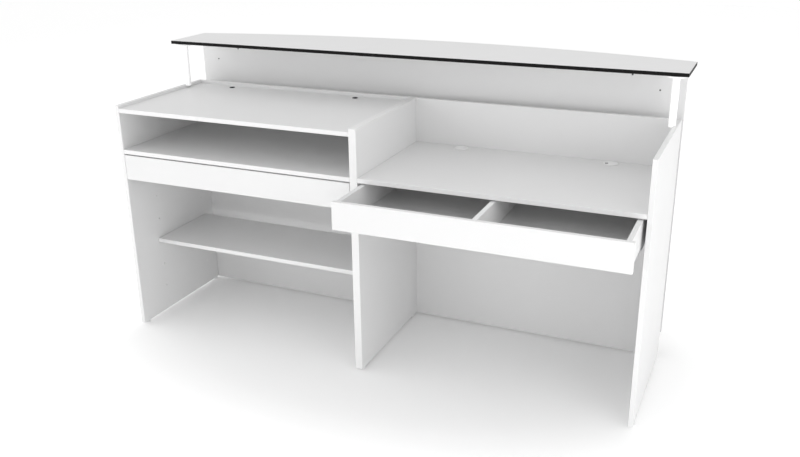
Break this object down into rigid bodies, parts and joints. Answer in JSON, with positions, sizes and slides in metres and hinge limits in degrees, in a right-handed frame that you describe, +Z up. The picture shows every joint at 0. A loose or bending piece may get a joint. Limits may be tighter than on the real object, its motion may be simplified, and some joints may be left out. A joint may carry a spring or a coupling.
{
  "type": "reception desk",
  "caption": "White reception desk, staff side: raised worktop over an open niche, lower desk worktop, sliding drawers, open shelf, visitor panel on spacers and a curved counter on posts.",
  "frame": {"origin": "on the floor under the middle of the bounding box, with the right drawer standing open as at rest", "axes": "+X along the desk to the right of someone at the staff side, +Y from the staff side towards the visitor, +Z up"},
  "size_m": [2.044, 0.958, 1.103],
  "materials": {
    "white_board": "white melamine-faced board with matching edge band, satin",
    "compact_laminate": "compact laminate with light faces and a black core at the edge",
    "white_steel": "white powder-coated steel, satin",
    "zinc_steel": "zinc-plated steel",
    "white_plastic": "moulded white plastic, satin",
    "black_plastic": "moulded black plastic, matt"
  },
  "bodies": {
    "carcass": {"end_panel_left": "white_board", "end_panel_right": "white_board", "divider_panel": "white_board", "back_panel": "white_board", "raised_worktop": "white_board", "desk_worktop": "white_board", "niche_shelf": "white_board", "lower_shelf": "white_board", "shelf_pin_left_front": "zinc_steel", "shelf_pin_left_rear": "zinc_steel", "shelf_pin_right_front": "zinc_steel", "shelf_pin_right_rear": "zinc_steel", "glide_left_front": "white_plastic", "glide_left_rear": "white_plastic", "glide_middle_front": "white_plastic", "glide_middle_rear": "white_plastic", "glide_right_front": "white_plastic", "glide_right_rear": "white_plastic", "visitor_panel": "white_board", "spacer_left_low": "zinc_steel", "spacer_left_high": "zinc_steel", "spacer_right_low": "zinc_steel", "spacer_right_high": "zinc_steel", "counter_top": "compact_laminate", "counter_post_left": "white_steel", "counter_post_right": "white_steel", "post_flange_left": "white_steel", "post_flange_right": "white_steel", "grommet_liner_left": "white_plastic", "grommet_liner_right": "white_plastic", "cable_ring_left": "black_plastic", "cable_ring_right": "black_plastic", "left_drawer_slide_left_cabinet": "zinc_steel", "left_drawer_slide_right_cabinet": "zinc_steel", "right_drawer_slide_left_cabinet": "zinc_steel", "right_drawer_slide_right_cabinet": "zinc_steel"},
    "left_drawer": {"left_drawer_front": "white_board", "left_drawer_side_left": "white_board", "left_drawer_side_right": "white_board", "left_drawer_bottom": "white_board", "left_drawer_back": "white_board", "left_drawer_partition": "white_board", "left_drawer_slide_left_runner": "zinc_steel", "left_drawer_slide_right_runner": "zinc_steel"},
    "left_middle_rails": {"left_drawer_slide_left_middle": "zinc_steel", "left_drawer_slide_right_middle": "zinc_steel"},
    "right_drawer": {"right_drawer_front": "white_board", "right_drawer_side_left": "white_board", "right_drawer_side_right": "white_board", "right_drawer_bottom": "white_board", "right_drawer_back": "white_board", "right_drawer_partition": "white_board", "right_drawer_slide_left_runner": "zinc_steel", "right_drawer_slide_right_runner": "zinc_steel"},
    "right_middle_rails": {"right_drawer_slide_left_middle": "zinc_steel", "right_drawer_slide_right_middle": "zinc_steel"},
    "left_cap": {"grommet_cap_left": "white_plastic"},
    "right_cap": {"grommet_cap_right": "white_plastic"}
  },
  "joints": [
    {"name": "left_drawer_slide", "type": "slide", "parent": "carcass", "child": "left_drawer", "axis": [0, -1, 0], "range_m": [0, 0.4]},
    {"name": "left_middle_slide", "type": "slide", "parent": "carcass", "child": "left_middle_rails", "axis": [0, -1, 0], "range_m": [0, 0.2]},
    {"name": "right_drawer_slide", "type": "slide", "parent": "carcass", "child": "right_drawer", "axis": [0, -1, 0], "range_m": [-0.194, 0.206]},
    {"name": "right_middle_slide", "type": "slide", "parent": "carcass", "child": "right_middle_rails", "axis": [0, -1, 0], "range_m": [-0.097, 0.103]},
    {"name": "left_cap_turn", "type": "hinge", "parent": "carcass", "child": "left_cap", "pos_m": [0.213, 0.21, 0.7488], "axis": [0, 0, 1], "continuous": true},
    {"name": "right_cap_turn", "type": "hinge", "parent": "carcass", "child": "right_cap", "pos_m": [0.777, 0.21, 0.7488], "axis": [0, 0, 1], "continuous": true}
  ],
  "couplings": [
    {"joint": "left_middle_slide", "follows": "left_drawer_slide", "ratio": 0.5},
    {"joint": "right_middle_slide", "follows": "right_drawer_slide", "ratio": 0.5}
  ]
}
